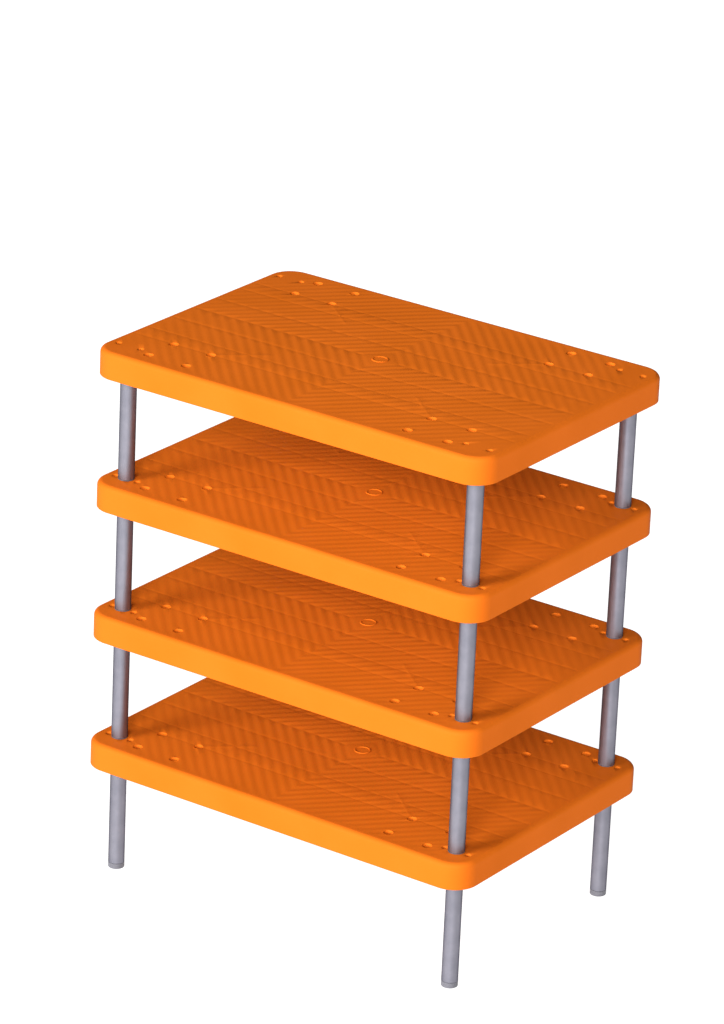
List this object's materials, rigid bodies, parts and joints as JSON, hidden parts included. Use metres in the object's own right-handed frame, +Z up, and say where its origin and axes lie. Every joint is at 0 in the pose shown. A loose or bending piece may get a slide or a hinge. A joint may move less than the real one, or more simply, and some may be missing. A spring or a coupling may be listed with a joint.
{
  "type": "stacked platform set",
  "caption": "Stack of low platforms: rectangular moulded decks with ribbed, drilled top faces on tubular corner legs, each platform lifting off the one below.",
  "frame": {"origin": "on the floor, under the middle of the decks", "axes": "+X along the decks' long side, +Y to the rear, +Z up"},
  "size_m": [0.7, 0.49, 0.847],
  "materials": {
    "deck_plastic": "satin moulded plastic",
    "leg_steel": "satin drawn tube",
    "end_plastic": "fine textured plastic",
    "coupler_plastic": "plain moulded plastic"
  },
  "bodies": {
    "tier_1": {"tier_1_deck": "deck_plastic", "tier_1_leg_front_left": "leg_steel", "tier_1_leg_front_right": "leg_steel", "tier_1_leg_rear_right": "leg_steel", "tier_1_leg_rear_left": "leg_steel", "tier_1_foot_front_left": "end_plastic", "tier_1_foot_front_right": "end_plastic", "tier_1_foot_rear_right": "end_plastic", "tier_1_foot_rear_left": "end_plastic", "tier_1_coupler_front_left": "coupler_plastic", "tier_1_coupler_front_right": "coupler_plastic", "tier_1_coupler_rear_right": "coupler_plastic", "tier_1_coupler_rear_left": "coupler_plastic"},
    "tier_2": {"tier_2_deck": "deck_plastic", "tier_2_leg_front_left": "leg_steel", "tier_2_leg_front_right": "leg_steel", "tier_2_leg_rear_right": "leg_steel", "tier_2_leg_rear_left": "leg_steel", "tier_2_bush_front_left": "end_plastic", "tier_2_bush_front_right": "end_plastic", "tier_2_bush_rear_right": "end_plastic", "tier_2_bush_rear_left": "end_plastic", "tier_2_coupler_front_left": "coupler_plastic", "tier_2_coupler_front_right": "coupler_plastic", "tier_2_coupler_rear_right": "coupler_plastic", "tier_2_coupler_rear_left": "coupler_plastic"},
    "tier_3": {"tier_3_deck": "deck_plastic", "tier_3_leg_front_left": "leg_steel", "tier_3_leg_front_right": "leg_steel", "tier_3_leg_rear_right": "leg_steel", "tier_3_leg_rear_left": "leg_steel", "tier_3_bush_front_left": "end_plastic", "tier_3_bush_front_right": "end_plastic", "tier_3_bush_rear_right": "end_plastic", "tier_3_bush_rear_left": "end_plastic", "tier_3_coupler_front_left": "coupler_plastic", "tier_3_coupler_front_right": "coupler_plastic", "tier_3_coupler_rear_right": "coupler_plastic", "tier_3_coupler_rear_left": "coupler_plastic"},
    "tier_4": {"tier_4_deck": "deck_plastic", "tier_4_leg_front_left": "leg_steel", "tier_4_leg_front_right": "leg_steel", "tier_4_leg_rear_right": "leg_steel", "tier_4_leg_rear_left": "leg_steel", "tier_4_bush_front_left": "end_plastic", "tier_4_bush_front_right": "end_plastic", "tier_4_bush_rear_right": "end_plastic", "tier_4_bush_rear_left": "end_plastic", "tier_4_plug_front_left": "coupler_plastic", "tier_4_plug_front_right": "coupler_plastic", "tier_4_plug_rear_right": "coupler_plastic", "tier_4_plug_rear_left": "coupler_plastic"}
  },
  "joints": [
    {"name": "tier_2_lift", "type": "slide", "parent": "tier_1", "child": "tier_2", "axis": [0, 0, 1], "range_m": [0, 0.06]},
    {"name": "tier_3_lift", "type": "slide", "parent": "tier_2", "child": "tier_3", "axis": [0, 0, 1], "range_m": [0, 0.06]},
    {"name": "tier_4_lift", "type": "slide", "parent": "tier_3", "child": "tier_4", "axis": [0, 0, 1], "range_m": [0, 0.06]}
  ]
}
